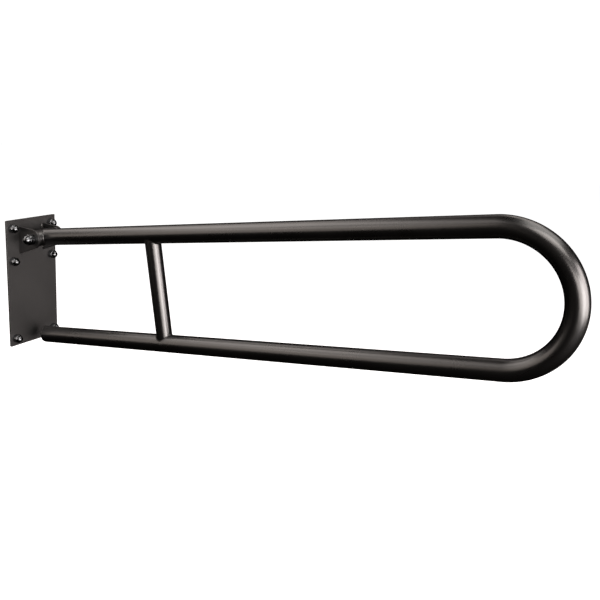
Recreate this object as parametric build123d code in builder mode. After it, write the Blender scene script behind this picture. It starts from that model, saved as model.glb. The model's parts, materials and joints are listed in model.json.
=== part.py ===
from build123d import *
import math
import os

os.makedirs("parts", exist_ok=True)

# ---------------------------------------------------------------------------
# Driving dimensions, mm.  Origin: centre of the wall plate's back face.
# +X points away from the wall, +Z up, Y across the plate.
# ---------------------------------------------------------------------------

# wall plate
plate_width = 90.0
plate_height = 196.0
plate_thickness = 3.0
plate_corner_radius = 1.0
plate_edge_chamfer = 0.4
wall_hole_radius = 3.3
wall_hole_spacing_y = 71.0
wall_hole_rows_below_pivot = (-13.5, 36.5, 158.5)

# hinge axis, measured from the plate
pivot_x = plate_thickness + 29.0
pivot_z = 72.5

# rail: one bent tube
rail_radius = 12.5
rail_wall = 2.0
leg_spacing = 152.0
reach_from_wall = 800.0
raised_angle = 10.0

# brace between the legs
brace_radius = 11.0
brace_wall = 1.5
brace_from_pivot = 214.5

# hinge ears
ear_thickness = 3.0
ear_inner_y = 20.5
ear_nose_radius = 14.5
ear_root_drop = 27.2
ear_hole_radius = 4.2
ear_edge_chamfer = 0.3

# hinge knuckle (a length of the rail's own tube), bushes, friction washers and disc springs
knuckle_radius = 12.5
knuckle_wall = 2.0
knuckle_half_length = 18.2
knuckle_fit_up_gap = 0.1
bush_bore_radius = 6.05
bush_sleeve_length = 14.0
bush_flange_radius = 12.2
bush_flange_thickness = 0.8
running_gap = 0.05
washer_radius = 12.2
washer_bore_radius = 6.2
washer_thickness = 0.8
spring_thickness = 0.45

# hinge shaft
shaft_radius = 6.0
shaft_thread_radius = 4.0
shaft_thread_length = 12.5
shaft_end_chamfer = 0.8

# round domed nuts: body radius, body length, dome radius, thread radius
wall_nut_size = (6.35, 7.2, 5.3, 3.0)
pivot_nut_size = (8.1, 8.4, 6.8, 4.0)
nut_edge_chamfer = 0.4
nut_crown_thickness = 3.5

# bumper in the end of the lower leg
bumper_landing_gap = 0.1
bumper_flange = 3.5
bumper_edge_radius = 1.5
bumper_stem_length = 16.0
bumper_stem_clearance = 0.1

# weld beads
ear_weld_leg = 2.5
saddle_weld_width = 1.4
saddle_weld_height = 1.4

# ---------------------------------------------------------------------------
# Values that follow from the driving dimensions
# ---------------------------------------------------------------------------
bend_radius = leg_spacing / 2
bend_start = reach_from_wall - pivot_x - bend_radius - rail_radius
bumper_tip = -(pivot_x - plate_thickness) + bumper_landing_gap
lower_leg_end = bumper_tip + bumper_flange
pivot_point = Vector(pivot_x, 0, pivot_z)
hinge_axis = Axis(pivot_point, (0, 1, 0))
across_hinge = Plane(origin=pivot_point, x_dir=(1, 0, 0), z_dir=(0, 1, 0))

# The rail's own plane: local x runs along the upper leg away from the hinge,
# local y points from the lower leg to the upper one, the normal is -Y.
tilt = math.radians(raised_angle)
rail_plane = Plane(
    origin=pivot_point,
    x_dir=(math.cos(tilt), 0, math.sin(tilt)),
    z_dir=(0, -1, 0),
)


def in_rail(along, up):
    """Point of the rail's centre plane, by its distances along and above the upper leg's axis."""
    return rail_plane.from_local_coords(Vector(along, up, 0))


def across_rail(along, up, turn=0):
    """Plane at a point of the rail, its normal along the upper leg, turned about Y."""
    heading = tilt + math.radians(turn)
    return Plane(
        origin=in_rail(along, up),
        x_dir=(0, 1, 0),
        z_dir=(math.cos(heading), 0, math.sin(heading)),
    )


def finish_piece(builder, name):
    """Label a finished sub-part and write its STEP file."""
    builder.part.label = name
    export_step(builder.part, f"parts/{name}.step")


# ---------------------------------------------------------------------------
# Wall plate with six fixing holes
# ---------------------------------------------------------------------------
wall_hole_points = [
    (side * wall_hole_spacing_y / 2, pivot_z - drop)
    for drop in wall_hole_rows_below_pivot
    for side in (-1, 1)
]

with BuildPart() as wall_plate:
    with BuildSketch(Plane.YZ):
        RectangleRounded(plate_width, plate_height, plate_corner_radius)
        with Locations(*wall_hole_points):
            Circle(wall_hole_radius, mode=Mode.SUBTRACT)
    extrude(amount=plate_thickness)
    front_face = wall_plate.faces().sort_by(Axis.X)[-1]
    chamfer(front_face.outer_wire().edges(), plate_edge_chamfer)
finish_piece(wall_plate, "wall_plate")


# ---------------------------------------------------------------------------
# Hinge ears: level top edge, round nose about the hinge axis, bottom edge
# tangent from the nose down to the plate
# ---------------------------------------------------------------------------
ear_root_reach = math.hypot(pivot_x - plate_thickness, ear_root_drop)
ear_root_angle = math.degrees(math.atan2(-ear_root_drop, plate_thickness - pivot_x))
ear_tangent_angle = ear_root_angle + math.degrees(math.acos(ear_nose_radius / ear_root_reach))


def build_ear(name, start_face_offset):
    """One ear, grown towards -Y from its +Y face, which lies at an offset from the X-Z plane."""
    with BuildPart() as ear:
        with BuildSketch(Plane.XZ.offset(start_face_offset)):
            with BuildLine():
                nose = CenterArc((pivot_x, pivot_z), ear_nose_radius, 90, ear_tangent_angle - 90)
                Polyline(
                    nose @ 1,
                    (plate_thickness, pivot_z - ear_root_drop),
                    (plate_thickness, pivot_z + ear_nose_radius),
                    nose @ 0,
                )
            make_face()
            with Locations((pivot_x, pivot_z)):
                Circle(ear_hole_radius, mode=Mode.SUBTRACT)
        extrude(amount=ear_thickness)
        nose_edges = ear.edges().filter_by(GeomType.CIRCLE).filter_by(
            lambda edge: edge.radius > ear_hole_radius + 1
        )
        chamfer(nose_edges, ear_edge_chamfer)
    finish_piece(ear, name)


build_ear("hinge_ear_left", ear_inner_y)
build_ear("hinge_ear_right", -ear_inner_y - ear_thickness)


# ---------------------------------------------------------------------------
# Fillet welds in the inner corners between the ears and the plate
# ---------------------------------------------------------------------------
def build_ear_weld(name, side):
    """Convex fillet bead along an ear's inner root."""
    corner = (plate_thickness, side * ear_inner_y)
    on_ear = (plate_thickness + ear_weld_leg, side * ear_inner_y)
    on_plate = (plate_thickness, side * (ear_inner_y - ear_weld_leg))
    crown_reach = 0.6 * ear_weld_leg
    crown = (plate_thickness + crown_reach, side * (ear_inner_y - crown_reach))
    bead_bottom = pivot_z - ear_root_drop + 1
    bead_height = ear_root_drop + ear_nose_radius - 2
    with BuildPart() as bead:
        with BuildSketch(Plane.XY.offset(bead_bottom)):
            with BuildLine():
                Polyline(on_plate, corner, on_ear)
                ThreePointArc(on_ear, crown, on_plate)
            make_face()
        extrude(amount=bead_height)
    finish_piece(bead, name)


build_ear_weld("ear_weld_left", -1)
build_ear_weld("ear_weld_right", 1)


# ---------------------------------------------------------------------------
# Round domed nuts
# ---------------------------------------------------------------------------
def domed_nut(seat, size):
    """Blind round nut standing on the seat plane along its normal: a drum with a half-ball on its end."""
    body_radius, body_length, dome_radius, thread_radius = size
    height = body_length + dome_radius
    profile_plane = Plane(origin=seat.origin, x_dir=seat.x_dir, z_dir=-seat.y_dir)
    with BuildPart() as nut:
        with BuildSketch(profile_plane):
            with BuildLine():
                Polyline(
                    (0, height),
                    (0, 0),
                    (body_radius - nut_edge_chamfer, 0),
                    (body_radius, nut_edge_chamfer),
                    (body_radius, body_length - nut_edge_chamfer),
                    (body_radius - nut_edge_chamfer, body_length),
                    (dome_radius, body_length),
                )
                CenterArc((0, body_length), dome_radius, 0, 90)
            make_face()
        revolve(axis=Axis(seat.origin, seat.z_dir))
        with BuildSketch(seat):
            Circle(thread_radius)
        extrude(amount=height - nut_crown_thickness, mode=Mode.SUBTRACT)
    return nut.part


wall_nut_seats = [
    Plane(origin=(plate_thickness, hole_y, hole_z), x_dir=(0, 1, 0), z_dir=(1, 0, 0))
    for hole_y, hole_z in wall_hole_points
]
wall_nut_solids = [domed_nut(seat, wall_nut_size) for seat in wall_nut_seats]
with BuildPart() as wall_nuts:
    add(wall_nut_solids)
finish_piece(wall_nuts, "wall_nuts")


def build_pivot_nut(name, side):
    """Domed nut on one end of the hinge shaft, seated on the outside of its ear."""
    seat = Plane(
        origin=(pivot_x, side * (ear_inner_y + ear_thickness), pivot_z),
        x_dir=(1, 0, 0),
        z_dir=(0, side, 0),
    )
    nut_solid = domed_nut(seat, pivot_nut_size)
    with BuildPart() as nut:
        add(nut_solid)
    finish_piece(nut, name)


build_pivot_nut("pivot_nut_left", -1)
build_pivot_nut("pivot_nut_right", 1)

# ---------------------------------------------------------------------------
# Hinge shaft: plain middle between the ears, threaded ends into the domed nuts
# ---------------------------------------------------------------------------
# Local x of this plane is the radius from the hinge axis, local y runs along +Y.
hinge_profile_plane = Plane(origin=pivot_point, x_dir=(1, 0, 0), z_dir=(0, 0, 1))

with BuildPart() as pivot_shaft:
    with BuildSketch(hinge_profile_plane):
        tip_y = ear_inner_y + shaft_thread_length
        Polygon(
            (0, -tip_y),
            (shaft_thread_radius - shaft_end_chamfer, -tip_y),
            (shaft_thread_radius, -tip_y + shaft_end_chamfer),
            (shaft_thread_radius, -ear_inner_y),
            (shaft_radius, -ear_inner_y),
            (shaft_radius, ear_inner_y),
            (shaft_thread_radius, ear_inner_y),
            (shaft_thread_radius, tip_y - shaft_end_chamfer),
            (shaft_thread_radius - shaft_end_chamfer, tip_y),
            (0, tip_y),
            align=None,
        )
    revolve(axis=hinge_axis)
finish_piece(pivot_shaft, "pivot_shaft")


# ---------------------------------------------------------------------------
# Bushes, friction washers and disc springs, one of each per side
# ---------------------------------------------------------------------------
def build_hinge_ring(name, side, points):
    """Ring turned about the hinge axis from (radius, distance from the middle) points."""
    with BuildPart() as ring:
        with BuildSketch(hinge_profile_plane):
            Polygon(*[(radius, side * distance) for radius, distance in points], align=None)
        revolve(axis=hinge_axis)
    finish_piece(ring, name)


bush_outer_radius = knuckle_radius - knuckle_wall
flange_face = knuckle_half_length + bush_flange_thickness
washer_inner_face = flange_face + running_gap
washer_outer_face = washer_inner_face + washer_thickness
bush_points = [
    (bush_bore_radius, knuckle_half_length - bush_sleeve_length),
    (bush_outer_radius, knuckle_half_length - bush_sleeve_length),
    (bush_outer_radius, knuckle_half_length),
    (bush_flange_radius, knuckle_half_length),
    (bush_flange_radius, flange_face),
    (bush_bore_radius, flange_face),
]
washer_points = [
    (washer_bore_radius, washer_inner_face),
    (washer_radius, washer_inner_face),
    (washer_radius, washer_outer_face),
    (washer_bore_radius, washer_outer_face),
]
# a shallow cone: its outer rim bears on the washer, its inner rim on the ear
spring_points = [
    (washer_bore_radius, ear_inner_y - spring_thickness),
    (washer_radius, washer_outer_face),
    (washer_radius, washer_outer_face + spring_thickness),
    (washer_bore_radius, ear_inner_y),
]
for side_name, side_sign in (("left", -1), ("right", 1)):
    build_hinge_ring(f"hinge_bush_{side_name}", side_sign, bush_points)
    build_hinge_ring(f"friction_washer_{side_name}", side_sign, washer_points)
    build_hinge_ring(f"disc_spring_{side_name}", side_sign, spring_points)

# ---------------------------------------------------------------------------
# Hinge knuckle: cross tube that carries the bushes, welded into the upper leg
# ---------------------------------------------------------------------------
with BuildPart() as knuckle_tube:
    with BuildSketch(across_hinge):
        Circle(knuckle_radius)
        Circle(bush_outer_radius, mode=Mode.SUBTRACT)
    extrude(amount=knuckle_half_length, both=True)
finish_piece(knuckle_tube, "knuckle_tube")

# ---------------------------------------------------------------------------
# Rail: upper leg from the hinge, half-round bend, lower leg back to the plate
# ---------------------------------------------------------------------------
with BuildPart() as rail_tube:
    with BuildLine(rail_plane) as rail_path:
        upper_leg = Line((0, 0), (bend_start, 0))
        bend = CenterArc((bend_start, -bend_radius), bend_radius, 90, -180)
        lower_leg = Line((bend_start, -leg_spacing), (lower_leg_end, -leg_spacing))
    with BuildSketch(across_rail(0, 0)):
        Circle(rail_radius)
        Circle(rail_radius - rail_wall, mode=Mode.SUBTRACT)
    sweep(path=rail_path.wire())
    with BuildSketch(across_hinge):
        Circle(knuckle_radius + knuckle_fit_up_gap)
    extrude(amount=rail_radius + 1, both=True, mode=Mode.SUBTRACT)
finish_piece(rail_tube, "rail_tube")

# ---------------------------------------------------------------------------
# Brace: straight tube square to both legs, its ends coped to them
# ---------------------------------------------------------------------------
leg_cut_half_length = 30.0

with BuildPart() as brace_tube:
    with BuildSketch(across_rail(brace_from_pivot, 0, turn=-90)):
        Circle(brace_radius)
        Circle(brace_radius - brace_wall, mode=Mode.SUBTRACT)
    extrude(amount=leg_spacing)
    with BuildSketch(across_rail(brace_from_pivot, 0), across_rail(brace_from_pivot, -leg_spacing)):
        Circle(rail_radius)
    extrude(amount=leg_cut_half_length, both=True, mode=Mode.SUBTRACT)
finish_piece(brace_tube, "brace_tube")


def build_brace_weld(name, leg_height, turn):
    """Bead round the brace where it meets a leg: a thin collar that follows the saddle."""
    collar_reach = rail_radius + saddle_weld_height
    with BuildPart() as bead:
        with BuildSketch(across_rail(brace_from_pivot, leg_height, turn=turn)):
            Circle(brace_radius + saddle_weld_width)
            Circle(brace_radius, mode=Mode.SUBTRACT)
        extrude(amount=collar_reach)
        with BuildSketch(across_rail(brace_from_pivot, leg_height)):
            Circle(collar_reach)
        extrude(amount=leg_cut_half_length, both=True, mode=Mode.INTERSECT)
        with BuildSketch(across_rail(brace_from_pivot, leg_height)):
            Circle(rail_radius)
        extrude(amount=leg_cut_half_length, both=True, mode=Mode.SUBTRACT)
    finish_piece(bead, name)


build_brace_weld("brace_weld_upper", 0, -90)
build_brace_weld("brace_weld_lower", -leg_spacing, 90)

# ---------------------------------------------------------------------------
# Beads on both sides of the upper leg where its coped end sits on the knuckle
# ---------------------------------------------------------------------------
with BuildPart() as knuckle_weld:
    with BuildSketch(across_rail(0, 0)):
        Circle(rail_radius + saddle_weld_width)
        Circle(rail_radius, mode=Mode.SUBTRACT)
        Rectangle(4 * rail_radius, 1.5 * knuckle_radius, mode=Mode.INTERSECT)
    extrude(amount=knuckle_radius + saddle_weld_height)
    with BuildSketch(across_hinge):
        Circle(knuckle_radius + saddle_weld_height)
    extrude(amount=2 * rail_radius, both=True, mode=Mode.INTERSECT)
    with BuildSketch(across_hinge):
        Circle(knuckle_radius)
    extrude(amount=2 * rail_radius, both=True, mode=Mode.SUBTRACT)
finish_piece(knuckle_weld, "knuckle_weld")

# ---------------------------------------------------------------------------
# Rubber bumper plugged into the lower leg's end; it lands on the plate
# ---------------------------------------------------------------------------
with BuildPart() as end_bumper:
    with BuildSketch(across_rail(bumper_tip, -leg_spacing)):
        Circle(rail_radius)
    extrude(amount=bumper_flange)
    landing_rim = end_bumper.edges().sort_by(Axis.X)[0]
    fillet(landing_rim, bumper_edge_radius)
    with BuildSketch(across_rail(lower_leg_end, -leg_spacing)):
        Circle(rail_radius - rail_wall - bumper_stem_clearance)
    extrude(amount=bumper_stem_length)
finish_piece(end_bumper, "end_bumper")
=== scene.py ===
import json
import math

import bmesh
import bpy
from mathutils import Matrix, Vector


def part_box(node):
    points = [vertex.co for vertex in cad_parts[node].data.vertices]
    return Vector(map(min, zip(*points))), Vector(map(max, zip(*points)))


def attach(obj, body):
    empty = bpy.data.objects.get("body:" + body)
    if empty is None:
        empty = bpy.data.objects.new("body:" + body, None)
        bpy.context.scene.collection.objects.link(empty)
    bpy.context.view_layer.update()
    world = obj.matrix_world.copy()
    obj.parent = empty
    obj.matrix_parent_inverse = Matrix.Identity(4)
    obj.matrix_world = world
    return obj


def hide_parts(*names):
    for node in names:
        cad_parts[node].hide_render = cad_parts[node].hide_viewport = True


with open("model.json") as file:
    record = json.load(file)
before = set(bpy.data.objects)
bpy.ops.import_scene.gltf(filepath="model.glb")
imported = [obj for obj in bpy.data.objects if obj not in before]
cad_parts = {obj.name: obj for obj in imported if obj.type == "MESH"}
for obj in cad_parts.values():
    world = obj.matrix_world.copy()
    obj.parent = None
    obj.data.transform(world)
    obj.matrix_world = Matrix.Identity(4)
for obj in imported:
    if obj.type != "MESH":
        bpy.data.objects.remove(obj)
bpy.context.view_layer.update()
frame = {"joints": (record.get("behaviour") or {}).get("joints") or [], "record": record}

# ---------------------------------------------------------------------------
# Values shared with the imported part, metres
# ---------------------------------------------------------------------------
record = frame["record"]
hinge = frame["joints"][0]
pivot = Vector(hinge["pos_m"])
# the rail is level at the hinge's lower limit, and rests above it by this angle
tilt = -math.radians(hinge["range_deg"][0])

TUBE_RADIUS = 0.0125
TUBE_WALL = 0.002
LEG_SPACING = 0.152
BEND_RADIUS = LEG_SPACING / 2
REACH = 0.8
BEND_START = REACH - pivot.x - BEND_RADIUS - TUBE_RADIUS
BRACE_RADIUS = 0.011
BRACE_WALL = 0.0015
BRACE_DISTANCE = 0.2145
BRACE_STEPS = 8
KNUCKLE_HALF_LENGTH = 0.0182
FIT_UP_GAP = 0.0001
BUMPER_FLANGE = 0.0035
BUMPER_TIP = 0.0289

plate_low, plate_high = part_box("wall_plate")
PLATE_FRONT = plate_high.x
ear_low, ear_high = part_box("hinge_ear_right")
EAR_INNER_Y = ear_low.y
EAR_OUTER_Y = ear_high.y
EAR_NOSE_RADIUS = ear_high.z - pivot.z
EAR_ROOT_Z = ear_low.z

SEGMENTS = 96
CORNER_STEPS = 4

WALL_HOLE_RADIUS = 0.0033
WALL_HOLE_SPACING = 0.071
WALL_HOLE_ROWS = (pivot.z + 0.0135, pivot.z - 0.0365, pivot.z - 0.1585)
EAR_HOLE_RADIUS = 0.0042

body_of = {node: body for body, nodes in record["behaviour"]["bodies"].items() for node in nodes}

# Axes of the rail at rest: along the upper leg, across it, and up from the lower leg to the upper.
ALONG = Vector((math.cos(tilt), 0, math.sin(tilt)))
ACROSS = Vector((0, 1, 0))
UP = Vector((-math.sin(tilt), 0, math.cos(tilt)))


def in_rail(along, across, up):
    """A point given in the rail's own axes, from the hinge axis."""
    return pivot + along * ALONG + across * ACROSS + up * UP


# ---------------------------------------------------------------------------
# Mesh helpers
# ---------------------------------------------------------------------------
def add_piece(name, bm, node, material, sharp_angle=40):
    """Turn a bmesh into a piece that stands for one CAD node."""
    bmesh.ops.remove_doubles(bm, verts=bm.verts, dist=1e-7)
    bmesh.ops.recalc_face_normals(bm, faces=bm.faces)
    mesh = bpy.data.meshes.new(name)
    bm.to_mesh(mesh)
    bm.free()
    mesh.polygons.foreach_set("use_smooth", [True] * len(mesh.polygons))
    mesh.set_sharp_from_angle(angle=math.radians(sharp_angle))
    piece = bpy.data.objects.new(name, mesh)
    bpy.context.scene.collection.objects.link(piece)
    mesh.materials.append(material)
    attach(piece, body_of[node])
    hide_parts(node)
    return piece


def skin(bm, rings, close_rings=True, close_path=False, caps=False):
    """Quads between neighbouring rings of equally many points."""
    rows = [[bm.verts.new(point) for point in ring] for ring in rings]
    count = len(rows[0])
    pairs = list(zip(rows, rows[1:]))
    if close_path:
        pairs.append((rows[-1], rows[0]))
    for row, next_row in pairs:
        for i in range(count if close_rings else count - 1):
            j = (i + 1) % count
            bm.faces.new((row[i], row[j], next_row[j], next_row[i]))
    if caps:
        bm.faces.new(rows[0])
        bm.faces.new(rows[-1])


def rounded_corners(profile, edge, closed=True):
    """A (radius, height) profile with its corners rounded; an open profile keeps its two ends.

    A corner takes the radius given as its third value, or else edge.
    """
    points = [Vector(corner[:2]) for corner in profile]
    result = []
    for i, here in enumerate(points):
        if not closed and i in (0, len(points) - 1):
            result.append(here)
            continue
        size = profile[i][2] if len(profile[i]) > 2 else edge
        back = points[i - 1] - here
        ahead = points[(i + 1) % len(points)] - here
        start = here + back.normalized() * min(size, back.length / 2)
        end = here + ahead.normalized() * min(size, ahead.length / 2)
        for step in range(CORNER_STEPS + 1):
            share = step / CORNER_STEPS
            result.append(start.lerp(here, share).lerp(here.lerp(end, share), share))
    return result


def about_hinge(radius, turn, height):
    """Point at a turn about the hinge axis; height runs along +Y from the centre plane."""
    return pivot + Vector((radius * math.cos(turn), height, radius * math.sin(turn)))


def about_lower_leg(radius, turn, height):
    """Point at a turn about the lower leg's axis; height runs along the leg from below the hinge."""
    return in_rail(height, radius * math.cos(turn), radius * math.sin(turn) - LEG_SPACING)


def lathe(bm, profile, place, edge=0.00015, closed=True):
    """Turned solid from a (radius, height) profile."""
    rings = []
    for radius, height in rounded_corners(profile, edge, closed):
        rings.append([place(radius, 2 * math.pi * i / SEGMENTS, height) for i in range(SEGMENTS)])
    skin(bm, rings, close_path=closed)


# ---------------------------------------------------------------------------
# Materials
# ---------------------------------------------------------------------------
# the values that a noise node gives nearly everywhere
NOISE_RANGE = (0.3, 0.7)
# how far a rounded normal agrees with the face's own: on a face, and along its edge
EDGE_AGREEMENT = (0.985, 0.86)

# scales are features per metre; widths and heights are metres
COAT_CLOUD_SCALE = 14
COAT_PEEL_SCALE = 650
COAT_GRAIN_SCALE = 4200
COAT_WEAR_SCALE = 180
COAT_WEAR_WIDTH = 0.0007
COAT_PEEL_HEIGHT = 0.000005
COAT_GRAIN_HEIGHT = 0.0000006
NUT_CLOUD_SCALE = 120
NUT_MARK_SCALE = 3000
NUT_WEAR_WIDTH = 0.0004
NUT_MARK_HEIGHT = 0.0000012
STEEL_RING_SCALE = 5000
STEEL_STAIN_SCALE = 260
STEEL_RING_HEIGHT = 0.000004
NYLON_CLOUD_SCALE = 90
NYLON_GRAIN_SCALE = 2600
NYLON_WEAR_WIDTH = 0.0004
NYLON_GRAIN_HEIGHT = 0.000006
RUBBER_CLOUD_SCALE = 60
RUBBER_GRAIN_SCALE = 3400
RUBBER_WEAR_WIDTH = 0.0012
RUBBER_GRAIN_HEIGHT = 0.000004


def add_node(tree, kind, inputs=None, **properties):
    """Shader node; an input is a constant or another node's output socket."""
    node = tree.nodes.new("ShaderNode" + kind)
    for key, value in properties.items():
        setattr(node, key, value)
    for key, value in (inputs or {}).items():
        if isinstance(value, bpy.types.NodeSocket):
            tree.links.new(value, node.inputs[key])
        else:
            node.inputs[key].default_value = value
    return node


def noise(tree, point, scale, detail=2.0):
    """Noise from about 0.3 to 0.7 with features about 1 / scale metres across."""
    return add_node(tree, "TexNoise", {"Vector": point, "Scale": scale, "Detail": detail}).outputs[0]


def spread(tree, value, from_range, to_range):
    """Map a value's range to another, clamped at both ends."""
    return add_node(tree, "MapRange", {
        0: value, 1: from_range[0], 2: from_range[1], 3: to_range[0], 4: to_range[1]}).outputs[0]


def product(tree, first, second):
    return add_node(tree, "Math", {0: first, 1: second}, operation="MULTIPLY").outputs[0]


def total(tree, first, second):
    return add_node(tree, "Math", {0: first, 1: second}, operation="ADD").outputs[0]


def edge_mask(tree, width):
    """1 along the piece's outside edges, 0 on its faces."""
    face = add_node(tree, "NewGeometry").outputs["Normal"]
    rounded = add_node(tree, "Bevel", {"Radius": width}, samples=6).outputs[0]
    aligned = add_node(tree, "VectorMath", {0: face, 1: rounded}, operation="DOT_PRODUCT").outputs["Value"]
    return spread(tree, aligned, EDGE_AGREEMENT, (0.0, 1.0))


def mix_colour(tree, share, first, second):
    return add_node(tree, "Mix", {0: share, 6: first, 7: second}, data_type="RGBA").outputs[2]


def surface_material(name, build, specular, metallic=0.0):
    """Material whose colour, roughness and height (colour, value, metres) come from build(tree, point)."""
    material = bpy.data.materials.new(name)
    material.use_nodes = True
    tree = material.node_tree
    shader = tree.nodes["Principled BSDF"]
    shader.inputs["Specular IOR Level"].default_value = specular
    shader.inputs["Metallic"].default_value = metallic
    point = add_node(tree, "TexCoord").outputs["Object"]
    colour, roughness, height = build(tree, point)
    bump = add_node(tree, "Bump", {"Strength": 1.0, "Distance": 1.0, "Height": height})
    tree.links.new(colour, shader.inputs["Base Color"])
    tree.links.new(roughness, shader.inputs["Roughness"])
    tree.links.new(bump.outputs[0], shader.inputs["Normal"])
    return material


def powder_coat_surface(tree, point, roughness):
    """Satin black powder coat: faint orange peel, rubbed lighter and smoother along edges."""
    cloud = noise(tree, point, COAT_CLOUD_SCALE, 4)
    peel = noise(tree, point, COAT_PEEL_SCALE)
    grain = noise(tree, point, COAT_GRAIN_SCALE, 3)
    patches = spread(tree, noise(tree, point, COAT_WEAR_SCALE, 4), (0.35, 0.6), (0.2, 1.0))
    wear = product(tree, edge_mask(tree, COAT_WEAR_WIDTH), patches)
    base = mix_colour(tree, spread(tree, cloud, NOISE_RANGE, (0.0, 1.0)), COAT_DARK, COAT_LIGHT)
    speck = spread(tree, grain, (0.62, 0.75), (0.0, 0.3))
    colour = mix_colour(tree, total(tree, product(tree, wear, 0.6), speck), base, COAT_RUBBED)
    rough = spread(tree, cloud, NOISE_RANGE, (roughness - 0.015, roughness + 0.015))
    rough = total(tree, rough, product(tree, wear, -0.05))
    height = total(tree, product(tree, peel, COAT_PEEL_HEIGHT), product(tree, grain, COAT_GRAIN_HEIGHT))
    return colour, rough, height


def black_nickel_surface(tree, point):
    """Dark polished plating on the nuts: fine polishing marks, corners worn a little brighter."""
    cloud = noise(tree, point, NUT_CLOUD_SCALE, 3)
    marks = noise(tree, point, NUT_MARK_SCALE, 2)
    patches = spread(tree, cloud, (0.35, 0.6), (0.1, 0.8))
    wear = product(tree, edge_mask(tree, NUT_WEAR_WIDTH), patches)
    colour = mix_colour(tree, wear, NUT_BLACK, NUT_RUBBED)
    rough = spread(tree, cloud, NOISE_RANGE, (NUT_ROUGHNESS - 0.03, NUT_ROUGHNESS + 0.03))
    return colour, rough, product(tree, marks, NUT_MARK_HEIGHT)


def turned_steel_surface(tree, point):
    """Bare steel with the fine rings that a lathe leaves round the hinge axis."""
    from_axis = add_node(tree, "VectorMath", {0: point, 1: pivot}, operation="SUBTRACT").outputs[0]
    flat = add_node(tree, "VectorMath", {0: from_axis, 1: (1, 0, 1)}, operation="MULTIPLY").outputs[0]
    radius = add_node(tree, "VectorMath", {0: flat}, operation="LENGTH").outputs["Value"]
    across = add_node(tree, "SeparateXYZ", {0: point}).outputs["Y"]
    ring_place = add_node(tree, "CombineXYZ", {0: radius, 1: across}).outputs[0]
    rings = noise(tree, ring_place, STEEL_RING_SCALE, 3)
    stain = noise(tree, point, STEEL_STAIN_SCALE, 4)
    colour = mix_colour(tree, spread(tree, stain, (0.4, 0.7), (0.0, 1.0)), STEEL_BRIGHT, STEEL_STAINED)
    rough = total(tree, spread(tree, rings, NOISE_RANGE, (0.2, 0.36)), product(tree, stain, 0.08))
    return colour, rough, product(tree, rings, STEEL_RING_HEIGHT)


def nylon_surface(tree, point):
    """Matt black moulded nylon."""
    cloud = noise(tree, point, NYLON_CLOUD_SCALE, 4)
    grain = noise(tree, point, NYLON_GRAIN_SCALE, 3)
    edge = edge_mask(tree, NYLON_WEAR_WIDTH)
    base = mix_colour(tree, spread(tree, cloud, NOISE_RANGE, (0.0, 1.0)), NYLON_DARK, NYLON_LIGHT)
    colour = mix_colour(tree, product(tree, edge, 0.4), base, NYLON_RUBBED)
    rough = spread(tree, grain, NOISE_RANGE, (0.46, 0.56))
    return colour, rough, product(tree, grain, NYLON_GRAIN_HEIGHT)


def rubber_surface(tree, point):
    """Black moulded rubber plug, polished a little where it lands on the plate."""
    cloud = noise(tree, point, RUBBER_CLOUD_SCALE, 4)
    grain = noise(tree, point, RUBBER_GRAIN_SCALE, 2)
    edge = edge_mask(tree, RUBBER_WEAR_WIDTH)
    base = mix_colour(tree, spread(tree, cloud, NOISE_RANGE, (0.0, 1.0)), COAT_DARK, COAT_LIGHT)
    colour = mix_colour(tree, product(tree, edge, 0.3), base, COAT_RUBBED)
    rough = total(tree, spread(tree, cloud, NOISE_RANGE, (0.32, 0.4)), product(tree, edge, -0.05))
    return colour, rough, product(tree, grain, RUBBER_GRAIN_HEIGHT)


COAT_DARK = (0.0008, 0.00075, 0.0007, 1)
COAT_LIGHT = (0.0018, 0.0016, 0.0015, 1)
COAT_RUBBED = (0.012, 0.011, 0.0105, 1)
TUBE_ROUGHNESS = 0.28
SHEET_ROUGHNESS = 0.5
EAR_ROUGHNESS = 0.4
WELD_ROUGHNESS = 0.36
NUT_BLACK = (0.122, 0.128, 0.134, 1)
NUT_RUBBED = (0.25, 0.255, 0.26, 1)
NUT_ROUGHNESS = 0.2
STEEL_BRIGHT = (0.42, 0.42, 0.43, 1)
STEEL_STAINED = (0.27, 0.265, 0.26, 1)
NYLON_DARK = (0.020, 0.020, 0.022, 1)
NYLON_LIGHT = (0.032, 0.032, 0.034, 1)
NYLON_RUBBED = (0.07, 0.07, 0.07, 1)


def coat_material(name, roughness, specular=1.0):
    return surface_material(
        name, lambda tree, point: powder_coat_surface(tree, point, roughness), specular=specular)


powder_coat = coat_material("powder_coat", TUBE_ROUGHNESS)
# the same coat, set less glossy on the wall plate and the ears than on the tubes
sheet_coat = coat_material("powder_coat_sheet", SHEET_ROUGHNESS)
ear_coat = coat_material("powder_coat_ear", EAR_ROUGHNESS)
# the same coat on the weld beads, with a weaker reflection
weld_coat = coat_material("powder_coat_weld", WELD_ROUGHNESS, specular=0.8)
fastener_black = surface_material("fastener_black", black_nickel_surface, specular=0.5, metallic=1.0)
turned_steel = surface_material("turned_steel", turned_steel_surface, specular=0.5, metallic=1.0)
bush_nylon = surface_material("bush_nylon", nylon_surface, specular=0.5)
bumper_rubber = surface_material("bumper_rubber", rubber_surface, specular=1.0)


# ---------------------------------------------------------------------------
# Rail tube: coped upper end, upper leg, half-round bend, lower leg
# ---------------------------------------------------------------------------
BEND_STEPS = 72
LEG_STEPS = 16
# the visible skin stays this far inside the nominal tube, so it never stands proud of the CAD part
SKIN_INSET = 0.00005


def tube_ring(radius, centre_along, centre_up, out_along, out_up):
    """Ring square to the path; its outward direction in the rail's plane is (out_along, out_up)."""
    ring = []
    for i in range(SEGMENTS):
        turn = 2 * math.pi * i / SEGMENTS
        outward = radius * math.sin(turn)
        ring.append(in_rail(
            centre_along + outward * out_along, radius * math.cos(turn), centre_up + outward * out_up))
    return ring


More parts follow.
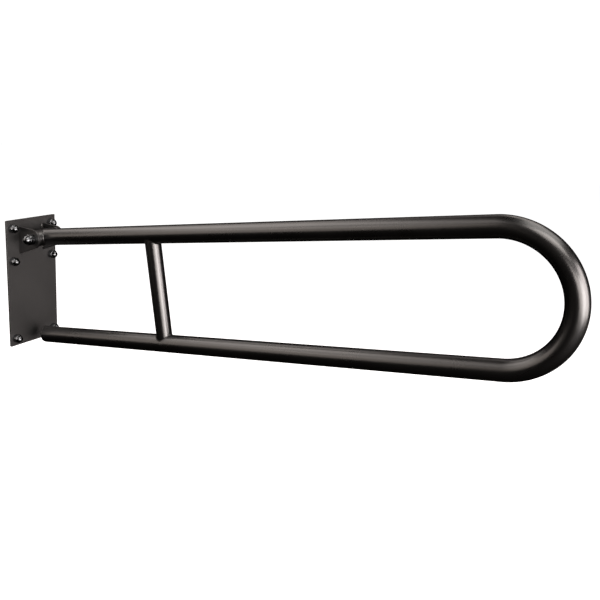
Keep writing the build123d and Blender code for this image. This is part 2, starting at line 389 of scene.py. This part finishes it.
def coped_ring(radius, cutter_radius):
    """End ring of the upper leg where it sits on the knuckle."""
    ring = []
    for i in range(SEGMENTS):
        turn = 2 * math.pi * i / SEGMENTS
        height = radius * math.sin(turn)
        ring.append(in_rail(math.sqrt(cutter_radius**2 - height**2), radius * math.cos(turn), height))
    return ring


def rail_rings(radius):
    """Rings of one surface of the rail, from the knuckle to the lower leg's end."""
    rings = [coped_ring(radius, TUBE_RADIUS + FIT_UP_GAP)]
    straight_from = 2 * TUBE_RADIUS
    for step in range(LEG_STEPS + 1):
        share = step / LEG_STEPS
        rings.append(tube_ring(radius, straight_from + share * (BEND_START - straight_from), 0, 0, 1))
    for step in range(1, BEND_STEPS):
        turn = math.pi / 2 - math.pi * step / BEND_STEPS
        outward = (math.cos(turn), math.sin(turn))
        centre_along = BEND_START + BEND_RADIUS * outward[0]
        centre_up = -BEND_RADIUS + BEND_RADIUS * outward[1]
        rings.append(tube_ring(radius, centre_along, centre_up, *outward))
    end = BUMPER_FLANGE - BUMPER_TIP
    for step in range(LEG_STEPS + 1):
        share = step / LEG_STEPS
        rings.append(tube_ring(radius, BEND_START + share * (end - BEND_START), -LEG_SPACING, 0, -1))
    return rings


def build_rail_tube():
    bm = bmesh.new()
    outside = rail_rings(TUBE_RADIUS - SKIN_INSET)
    inside = rail_rings(TUBE_RADIUS - TUBE_WALL)
    skin(bm, outside + inside[::-1], close_path=True)
    add_piece("rail_tube_formed", bm, "rail_tube", powder_coat)


# ---------------------------------------------------------------------------
# Brace between the legs, coped to both
# ---------------------------------------------------------------------------
def brace_ring(radius, side):
    """Coped end ring against the upper leg (side 1) or the lower leg (side -1)."""
    ring = []
    for i in range(SEGMENTS):
        turn = 2 * math.pi * i / SEGMENTS
        across = radius * math.sin(turn)
        leg_surface = math.sqrt(TUBE_RADIUS**2 - across**2)
        height = -leg_surface if side > 0 else leg_surface - LEG_SPACING
        ring.append(in_rail(BRACE_DISTANCE + radius * math.cos(turn), across, height))
    return ring


def build_brace():
    bm = bmesh.new()
    rings = []
    for radius, first, last in ((BRACE_RADIUS, 1, -1), (BRACE_RADIUS - BRACE_WALL, -1, 1)):
        start, end = brace_ring(radius, first), brace_ring(radius, last)
        for step in range(BRACE_STEPS + 1):
            rings.append([a.lerp(b, step / BRACE_STEPS) for a, b in zip(start, end)])
    skin(bm, rings, close_path=True)
    add_piece("brace_tube_coped", bm, "brace_tube", powder_coat)


# ---------------------------------------------------------------------------
# Weld beads: a rippled, slightly hollow fillet between two surfaces
# ---------------------------------------------------------------------------
BEAD_LEG = 0.0014
EAR_BEAD_LEG = 0.0025
BRACE_BEAD_FULLNESS = -0.15
KNUCKLE_BEAD_FULLNESS = -0.16
EAR_BEAD_FULLNESS = -0.06
RIPPLE_PITCH = 0.0016
RIPPLE_HEIGHT = 0.022
BEAD_STEPS = 8


def bead_section(root, toe_a, toe_b, outward, distance, fullness):
    """Cross-section of a bead: its root, then an arc from one toe to the other.

    The arc is hollow if fullness is negative.
    """
    section = [root]
    width = (toe_a - toe_b).length
    for step in range(BEAD_STEPS + 1):
        share = step / BEAD_STEPS
        arch = math.sin(math.pi * share)
        phase = (distance / RIPPLE_PITCH + 0.35 * arch) % 1.0
        ripple = RIPPLE_HEIGHT * (1 - phase) ** 2
        section.append(toe_a.lerp(toe_b, share) + outward * width * arch * (fullness + ripple))
    return section


def build_brace_weld(name, node, side):
    """Bead round the brace at the upper leg (side 1) or the lower leg (side -1)."""
    steps = 260
    sections = []
    for i in range(steps):
        turn = 2 * math.pi * i / steps
        cosine, sine = math.cos(turn), math.sin(turn)

        def on_leg(radius):
            across = radius * sine
            drop = math.sqrt(TUBE_RADIUS**2 - across**2)
            return BRACE_DISTANCE + radius * cosine, across, drop

        along, across, drop = on_leg(BRACE_RADIUS)
        leg_along, leg_across, leg_drop = on_leg(BRACE_RADIUS + BEAD_LEG)
        away = -1 if side > 0 else 1
        base = 0 if side > 0 else -LEG_SPACING
        root = in_rail(along, across, base + away * drop)
        toe_brace = in_rail(along, across, base + away * (drop + BEAD_LEG))
        toe_leg = in_rail(leg_along, leg_across, base + away * leg_drop)
        outward = ((toe_brace + toe_leg) / 2 - root).normalized()
        sections.append(bead_section(
            root, toe_brace, toe_leg, outward, turn * BRACE_RADIUS, BRACE_BEAD_FULLNESS))
    bm = bmesh.new()
    skin(bm, sections, close_path=True)
    add_piece(name, bm, node, weld_coat, sharp_angle=60)


def build_knuckle_weld():
    """Two beads, one on each side of the upper leg's coped end, that fade out at the top and bottom."""
    bm = bmesh.new()
    steps = 150
    reach = math.radians(80)
    for side in (-1, 1):
        sections = []
        for i in range(steps + 1):
            turn = -reach + 2 * reach * i / steps
            size = BEAD_LEG * (1 - (abs(turn) / reach) ** 6 * 0.85)
            away = TUBE_RADIUS * math.cos(turn)
            height = TUBE_RADIUS * math.sin(turn)
            root = in_rail(away, side * away, height)
            toe_tube = in_rail(away + size, side * away, height)
            toe_knuckle = in_rail(away, side * (away + size), height)
            outward = in_rail(0.7 * math.cos(turn), side * 0.7 * math.cos(turn), math.sin(turn)) - pivot
            sections.append(bead_section(
                root, toe_tube, toe_knuckle, outward.normalized(), turn * TUBE_RADIUS + 0.05,
                KNUCKLE_BEAD_FULLNESS))
        skin(bm, sections, caps=True)
    add_piece("knuckle_weld_beads", bm, "knuckle_weld", weld_coat, sharp_angle=60)


def build_ear_weld(name, node, side):
    """Upright fillet bead inside an ear's root."""
    low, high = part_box(node)
    steps = 160
    sections = []
    for i in range(steps + 1):
        share = i / steps
        size = EAR_BEAD_LEG * (1 - abs(2 * share - 1) ** 10 * 0.6)
        z = low.z + share * (high.z - low.z)
        root = Vector((PLATE_FRONT, side * EAR_INNER_Y, z))
        toe_ear = root + Vector((size, 0, 0))
        toe_plate = root - Vector((0, side * size, 0))
        outward = Vector((1, -side, 0)).normalized()
        sections.append(bead_section(root, toe_ear, toe_plate, outward, z + 1, EAR_BEAD_FULLNESS))
    bm = bmesh.new()
    skin(bm, sections, caps=True)
    add_piece(name, bm, node, weld_coat, sharp_angle=60)


# ---------------------------------------------------------------------------
# Wall plate and ears: cut sheet with softened edges
# ---------------------------------------------------------------------------
PLATE_CORNER = 0.001
PLATE_EDGE = 0.0004
EAR_EDGE = 0.0003
# degrees: round outlines and holes are shaded smooth, and the wide faces stay flat
SHEET_SHARP_ANGLE = 10


def arc(centre, radius, start, end, steps):
    """Points of an arc in degrees, both ends included."""
    return [
        (centre[0] + radius * math.cos(math.radians(start + (end - start) * i / steps)),
         centre[1] + radius * math.sin(math.radians(start + (end - start) * i / steps)))
        for i in range(steps + 1)
    ]


def full_circle(centre, radius):
    """A closed outline of 48 points; the last one stops short of the first."""
    return arc(centre, radius, 0, 352.5, 47)


def cut_sheet(name, node, loops, thickness, edge, placement, material):
    """Flat sheet cut along closed outlines, the first outside and the rest holes."""
    curve = bpy.data.curves.new(name, "CURVE")
    curve.dimensions = "2D"
    curve.fill_mode = "BOTH"
    curve.extrude = thickness / 2 - edge
    curve.bevel_depth = edge
    curve.bevel_resolution = 2
    curve.offset = -edge
    for loop in loops:
        spline = curve.splines.new("POLY")
        spline.points.add(len(loop) - 1)
        for point, (x, y) in zip(spline.points, loop):
            point.co = (x, y, 0, 1)
        spline.use_cyclic_u = True
    shape = bpy.data.objects.new(name + "_outline", curve)
    mesh = bpy.data.meshes.new_from_object(shape)
    bpy.data.objects.remove(shape)
    bm = bmesh.new()
    bm.from_mesh(mesh)
    bpy.data.meshes.remove(mesh)
    bmesh.ops.transform(bm, matrix=placement, verts=bm.verts)
    add_piece(name, bm, node, material, sharp_angle=SHEET_SHARP_ANGLE)


def build_wall_plate():
    half_width, half_height = plate_high.y, plate_high.z
    outline = []
    for side_y, side_z, start in ((1, 1, 0), (-1, 1, 90), (-1, -1, 180), (1, -1, 270)):
        centre = (side_y * (half_width - PLATE_CORNER), side_z * (half_height - PLATE_CORNER))
        outline += arc(centre, PLATE_CORNER, start, start + 90, 12)
    loops = [outline]
    for z in WALL_HOLE_ROWS:
        for y in (-WALL_HOLE_SPACING / 2, WALL_HOLE_SPACING / 2):
            loops.append(full_circle((y, z), WALL_HOLE_RADIUS))
    # outline x runs across the plate and its y runs up
    placement = Matrix(((0, 0, 1, PLATE_FRONT / 2), (1, 0, 0, 0), (0, 1, 0, 0), (0, 0, 0, 1)))
    cut_sheet("wall_plate_cut", "wall_plate", loops, PLATE_FRONT, PLATE_EDGE, placement, sheet_coat)


def build_ear(name, node):
    low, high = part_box(node)
    root_reach = math.hypot(pivot.x - PLATE_FRONT, pivot.z - EAR_ROOT_Z)
    root_angle = math.degrees(math.atan2(EAR_ROOT_Z - pivot.z, PLATE_FRONT - pivot.x))
    tangent = root_angle + math.degrees(math.acos(EAR_NOSE_RADIUS / root_reach))
    centre = (pivot.x, pivot.z)
    outline = [(PLATE_FRONT, pivot.z + EAR_NOSE_RADIUS), (PLATE_FRONT, EAR_ROOT_Z)]
    outline += arc(centre, EAR_NOSE_RADIUS, tangent, 90, 64)
    hole = full_circle(centre, EAR_HOLE_RADIUS)
    # outline x runs away from the wall and its y runs up, so the sheet's normal is -Y
    middle = (low.y + high.y) / 2
    placement = Matrix(((1, 0, 0, 0), (0, 0, -1, middle), (0, 1, 0, 0), (0, 0, 0, 1)))
    cut_sheet(name, node, [outline, hole], high.y - low.y, EAR_EDGE, placement, ear_coat)


# ---------------------------------------------------------------------------
# Round domed nuts: a drum with a softened rim, a narrow flat step and a half-ball end
# ---------------------------------------------------------------------------
# body radius, body length, dome radius, thread radius
WALL_NUT_SIZE = (0.00635, 0.0072, 0.0053, 0.003)
PIVOT_NUT_SIZE = (0.0081, 0.0084, 0.0068, 0.004)
NUT_RIM = 0.0008
NUT_CROWN = 0.0035
NUT_DRILL_POINT = 0.0009
NUT_COUNTERSINK = 0.0006
DOME_STEPS = 20


def add_domed_nut(bm, size, seat):
    """The seat matrix takes the nut's axis from +Z to where it points."""
    body_radius, body_length, dome_radius, thread_radius = size
    bore_end = body_length + dome_radius - NUT_CROWN
    bore = [(0, bore_end + NUT_DRILL_POINT), (thread_radius, bore_end),
            (thread_radius, NUT_COUNTERSINK), (thread_radius + NUT_COUNTERSINK, 0)]
    body = [(body_radius, 0, 0.0003), (body_radius, body_length, NUT_RIM),
            (dome_radius, body_length, 0.0001)]
    dome = arc((0, body_length), dome_radius, 2, 90, DOME_STEPS)
    profile = rounded_corners(bore + body + [dome[0]], 0.00008, closed=False)
    profile += [Vector(point) for point in dome[1:]]
    rings = []
    turns = [2 * math.pi * i / SEGMENTS for i in range(SEGMENTS)]
    for radius, height in profile:
        rings.append([
            seat @ Vector((radius * math.cos(turn), radius * math.sin(turn), height)) for turn in turns])
    skin(bm, rings)


def build_wall_nuts():
    bm = bmesh.new()
    for z in WALL_HOLE_ROWS:
        for y in (-WALL_HOLE_SPACING / 2, WALL_HOLE_SPACING / 2):
            seat = Matrix(((0, 0, 1, PLATE_FRONT), (1, 0, 0, y), (0, 1, 0, z), (0, 0, 0, 1)))
            add_domed_nut(bm, WALL_NUT_SIZE, seat)
    add_piece("wall_nuts_turned", bm, "wall_nuts", fastener_black)


def build_pivot_nut(name, node, side):
    """The nut's axis is side * Y."""
    seat = Matrix((
        (1, 0, 0, pivot.x), (0, 0, side, side * EAR_OUTER_Y), (0, -side, 0, pivot.z), (0, 0, 0, 1)))
    bm = bmesh.new()
    add_domed_nut(bm, PIVOT_NUT_SIZE, seat)
    add_piece(name, bm, node, fastener_black)


# ---------------------------------------------------------------------------
# Hinge: knuckle, shaft, bushes, washers and disc springs, turned about the hinge axis
# ---------------------------------------------------------------------------
BUSH_RADIUS = TUBE_RADIUS - TUBE_WALL
BUSH_BORE = 0.00605
BUSH_SLEEVE = 0.014
RING_RADIUS = 0.0122
RING_BORE = 0.0062
RING_THICKNESS = 0.0008
RUNNING_GAP = 0.00005
SPRING_THICKNESS = 0.00045
FLANGE_FACE = KNUCKLE_HALF_LENGTH + RING_THICKNESS
WASHER_FACE = FLANGE_FACE + RUNNING_GAP + RING_THICKNESS

SHAFT_RADIUS = 0.006
THREAD_RADIUS = 0.004
THREAD_LENGTH = 0.0125
THREAD_PITCH = 0.00125
THREAD_DEPTH = 0.0007
THREAD_STEPS = 8


def build_knuckle():
    bm = bmesh.new()
    half = KNUCKLE_HALF_LENGTH
    outer = TUBE_RADIUS - SKIN_INSET
    profile = [(BUSH_RADIUS, -half), (outer, -half), (outer, half), (BUSH_RADIUS, half)]
    lathe(bm, profile, about_hinge, 0.0003)
    add_piece("knuckle_tube_turned", bm, "knuckle_tube", powder_coat)


def thread_rings(side):
    """Rings of one threaded end, from its shoulder to its chamfered tip."""
    rings = []
    count = round(THREAD_LENGTH / THREAD_PITCH * THREAD_STEPS)
    for step in range(count + 1):
        along = THREAD_LENGTH * step / count
        # the thread runs out at the shoulder and at the tip's chamfer
        run_out = min(1, along / THREAD_PITCH, (THREAD_LENGTH - along) / THREAD_PITCH)
        chamfer = max(0, along - THREAD_LENGTH + THREAD_DEPTH)
        ring = []
        for i in range(SEGMENTS):
            phase = (along / THREAD_PITCH - side * i / SEGMENTS) % 1
            groove = THREAD_DEPTH * (1 - abs(2 * phase - 1)) * run_out
            radius = THREAD_RADIUS - max(groove, chamfer)
            ring.append(about_hinge(radius, 2 * math.pi * i / SEGMENTS, side * (EAR_INNER_Y + along)))
        rings.append(ring)
    centre = about_hinge(0, 0, side * (EAR_INNER_Y + THREAD_LENGTH))
    return rings + [[centre] * SEGMENTS]


def build_shaft():
    bm = bmesh.new()
    middle = []
    for radius, height in rounded_corners(
            [(THREAD_RADIUS, -EAR_INNER_Y), (SHAFT_RADIUS, -EAR_INNER_Y),
             (SHAFT_RADIUS, EAR_INNER_Y), (THREAD_RADIUS, EAR_INNER_Y)], 0.0003, closed=False):
        middle.append([about_hinge(radius, 2 * math.pi * i / SEGMENTS, height) for i in range(SEGMENTS)])
    skin(bm, thread_rings(-1)[::-1] + middle + thread_rings(1))
    add_piece("pivot_shaft_turned", bm, "pivot_shaft", turned_steel, sharp_angle=35)


def build_hinge_rings(side, side_name):
    """Flanged bush, friction washer and disc spring on one side of the knuckle."""
    half = KNUCKLE_HALF_LENGTH
    bush = [(BUSH_BORE, half - BUSH_SLEEVE), (BUSH_RADIUS, half - BUSH_SLEEVE), (BUSH_RADIUS, half),
            (RING_RADIUS, half), (RING_RADIUS, FLANGE_FACE), (BUSH_BORE, FLANGE_FACE)]
    washer = [(RING_BORE, WASHER_FACE - RING_THICKNESS), (RING_RADIUS, WASHER_FACE - RING_THICKNESS),
              (RING_RADIUS, WASHER_FACE), (RING_BORE, WASHER_FACE)]
    # a shallow cone: its outer rim bears on the washer, its inner rim on the ear
    spring = [(RING_BORE, EAR_INNER_Y - SPRING_THICKNESS), (RING_RADIUS, WASHER_FACE),
              (RING_RADIUS, WASHER_FACE + SPRING_THICKNESS), (RING_BORE, EAR_INNER_Y)]
    for node, profile, material in (
            ("hinge_bush", bush, bush_nylon), ("friction_washer", washer, turned_steel),
            ("disc_spring", spring, turned_steel)):
        bm = bmesh.new()
        lathe(bm, [(radius, side * height) for radius, height in profile], about_hinge, 0.0001)
        add_piece(f"{node}_{side_name}_turned", bm, f"{node}_{side_name}", material)


# ---------------------------------------------------------------------------
# Rubber bumper: rounded landing face and a ribbed stem inside the lower leg
# ---------------------------------------------------------------------------
STEM_RADIUS = 0.0104
STEM_LENGTH = 0.016
STEM_RIBS = 5
STEM_GROOVE = 0.0009


def build_bumper():
    flange_end = BUMPER_FLANGE - BUMPER_TIP
    outer = TUBE_RADIUS - SKIN_INSET
    profile = [(0, -BUMPER_TIP), (0.0085, -BUMPER_TIP, 0.0003), (outer, -BUMPER_TIP, 0.0015),
               (outer, flange_end, 0.0003), (STEM_RADIUS, flange_end)]
    pitch = STEM_LENGTH / STEM_RIBS
    for rib in range(STEM_RIBS):
        start = flange_end + rib * pitch
        profile += [(STEM_RADIUS, start + 0.3 * pitch), (STEM_RADIUS - STEM_GROOVE, start + 0.4 * pitch),
                    (STEM_RADIUS - STEM_GROOVE, start + 0.7 * pitch), (STEM_RADIUS, start + 0.8 * pitch)]
    profile += [(STEM_RADIUS, flange_end + STEM_LENGTH), (0, flange_end + STEM_LENGTH)]
    bm = bmesh.new()
    lathe(bm, profile, about_lower_leg, 0.00015, closed=False)
    add_piece("end_bumper_moulded", bm, "end_bumper", bumper_rubber)


build_rail_tube()
build_brace()
build_brace_weld("brace_weld_upper_bead", "brace_weld_upper", 1)
build_brace_weld("brace_weld_lower_bead", "brace_weld_lower", -1)
build_knuckle_weld()
build_ear_weld("ear_weld_left_bead", "ear_weld_left", -1)
build_ear_weld("ear_weld_right_bead", "ear_weld_right", 1)
build_wall_plate()
build_ear("hinge_ear_left_cut", "hinge_ear_left")
build_ear("hinge_ear_right_cut", "hinge_ear_right")
build_wall_nuts()
build_pivot_nut("pivot_nut_left_turned", "pivot_nut_left", -1)
build_pivot_nut("pivot_nut_right_turned", "pivot_nut_right", 1)
build_knuckle()
build_shaft()
build_hinge_rings(-1, "left")
build_hinge_rings(1, "right")
build_bumper()


# ---------------------------------------------------------------------------
# Camera, lights and stage
# ---------------------------------------------------------------------------
CAMERA_PLACE = (0.8868, -0.7263, 0.3154)
CAMERA_ANGLES = (74.928, -3.547, 30.908)
CAMERA_SENSOR = 36.0
CAMERA_LENS = 43.2
CAMERA_SHIFT = (0.0101, -0.0345)
CAMERA_REACH = 50.0


def add_camera():
    data = bpy.data.cameras.new("camera")
    data.sensor_width = CAMERA_SENSOR
    data.lens = CAMERA_LENS
    data.shift_x, data.shift_y = CAMERA_SHIFT
    data.clip_end = CAMERA_REACH
    camera = bpy.data.objects.new("camera", data)
    camera.location = CAMERA_PLACE
    camera.rotation_euler = [math.radians(angle) for angle in CAMERA_ANGLES]
    bpy.context.scene.collection.objects.link(camera)
    bpy.context.scene.camera = camera


# name: azimuth from -Y towards +X, elevation, width and height seen from the rail, degrees; watts; colour
SOFTBOXES = {
    "softbox_right_front": (46, 2, 24, 26, 33, (1.0, 0.91, 0.86)),
    "softbox_right": (69, 2, 22, 30, 75, (1.0, 0.93, 0.90)),
    "softbox_right_rear": (94, 8, 32, 40, 98, (1.0, 0.91, 0.88)),
    "softbox_upper_front": (45, 48, 36, 28, 38, (1.0, 0.92, 0.87)),
    "softbox_upper_right": (95, 66, 60, 34, 56, (1.0, 0.95, 0.91)),
    "softbox_upper_rear": (172, 52, 26, 18, 8, (1.0, 0.90, 0.84)),
    "softbox_left": (290, 45, 72, 40, 44, (1.0, 0.91, 0.86)),
    "softbox_left_key": (285, 46, 32, 24, 11, (1.0, 0.91, 0.86)),
    "softbox_left_front": (322, 16, 44, 34, 20, (1.0, 0.88, 0.80)),
    "softbox_rear": (218, 48, 44, 22, 4, (1.0, 0.90, 0.86)),
}
STUDIO_CENTRE = Vector((0.35, 0, 0.05))
SOFTBOX_DISTANCE = 3.0


def add_softbox(name, azimuth, elevation, width, height, power, colour):
    data = bpy.data.lights.new(name, "AREA")
    data.shape = "RECTANGLE"
    data.size = 2 * SOFTBOX_DISTANCE * math.tan(math.radians(width / 2))
    data.size_y = 2 * SOFTBOX_DISTANCE * math.tan(math.radians(height / 2))
    data.energy = power
    data.color = colour
    light = bpy.data.objects.new(name, data)
    turn, rise = math.radians(azimuth), math.radians(elevation)
    towards = Vector((math.sin(turn) * math.cos(rise), -math.cos(turn) * math.cos(rise), math.sin(rise)))
    light.location = STUDIO_CENTRE + SOFTBOX_DISTANCE * towards
    light.rotation_euler = (-towards).to_track_quat("-Z", "Y").to_euler()
    bpy.context.scene.collection.objects.link(light)


def add_lights():
    for name, values in SOFTBOXES.items():
        add_softbox(name, *values)


BACKDROP_RADIUS = 12.0
FLOOR_Z = -0.9


def pale_material(name, glow):
    """Plain near-white that glows enough by itself to stay white in the picture."""
    material = bpy.data.materials.new(name)
    material.use_nodes = True
    tree = material.node_tree
    shader = tree.nodes["Principled BSDF"]
    point = add_node(tree, "TexCoord").outputs["Object"]
    tone = spread(tree, noise(tree, point, 3, 3), NOISE_RANGE, (0.0, 1.0))
    colour = mix_colour(tree, tone, (0.90, 0.90, 0.90, 1), (0.93, 0.93, 0.93, 1))
    tree.links.new(colour, shader.inputs["Base Color"])
    shader.inputs["Roughness"].default_value = 0.9
    shader.inputs["Specular IOR Level"].default_value = 0.0
    shader.inputs["Emission Color"].default_value = (1, 1, 1, 1)
    shader.inputs["Emission Strength"].default_value = glow
    return material


def add_stage_piece(name, bm, material):
    mesh = bpy.data.meshes.new(name)
    bm.to_mesh(mesh)
    bm.free()
    mesh.materials.append(material)
    piece = bpy.data.objects.new(name, mesh)
    bpy.context.scene.collection.objects.link(piece)
    # the floor and backdrop are there for the camera only: the softboxes alone light the rail
    piece.visible_glossy = False
    piece.visible_diffuse = False
    piece.visible_shadow = False


def add_stage():
    world = bpy.data.worlds.new("studio")
    world.use_nodes = True
    background = world.node_tree.nodes["Background"]
    background.inputs["Color"].default_value = (1, 1, 1, 1)
    background.inputs["Strength"].default_value = 0.0
    bpy.context.scene.world = world
    bpy.context.scene.view_settings.view_transform = "Standard"
    bm = bmesh.new()
    bmesh.ops.create_uvsphere(bm, u_segments=48, v_segments=24, radius=BACKDROP_RADIUS)
    add_stage_piece("backdrop", bm, pale_material("backdrop_white", 1.0))
    bm = bmesh.new()
    bmesh.ops.create_circle(bm, cap_ends=True, segments=96, radius=BACKDROP_RADIUS)
    bmesh.ops.translate(bm, verts=bm.verts, vec=(0, 0, FLOOR_Z))
    add_stage_piece("floor", bm, pale_material("floor_pale", 1.0))


add_camera()
add_lights()
add_stage()
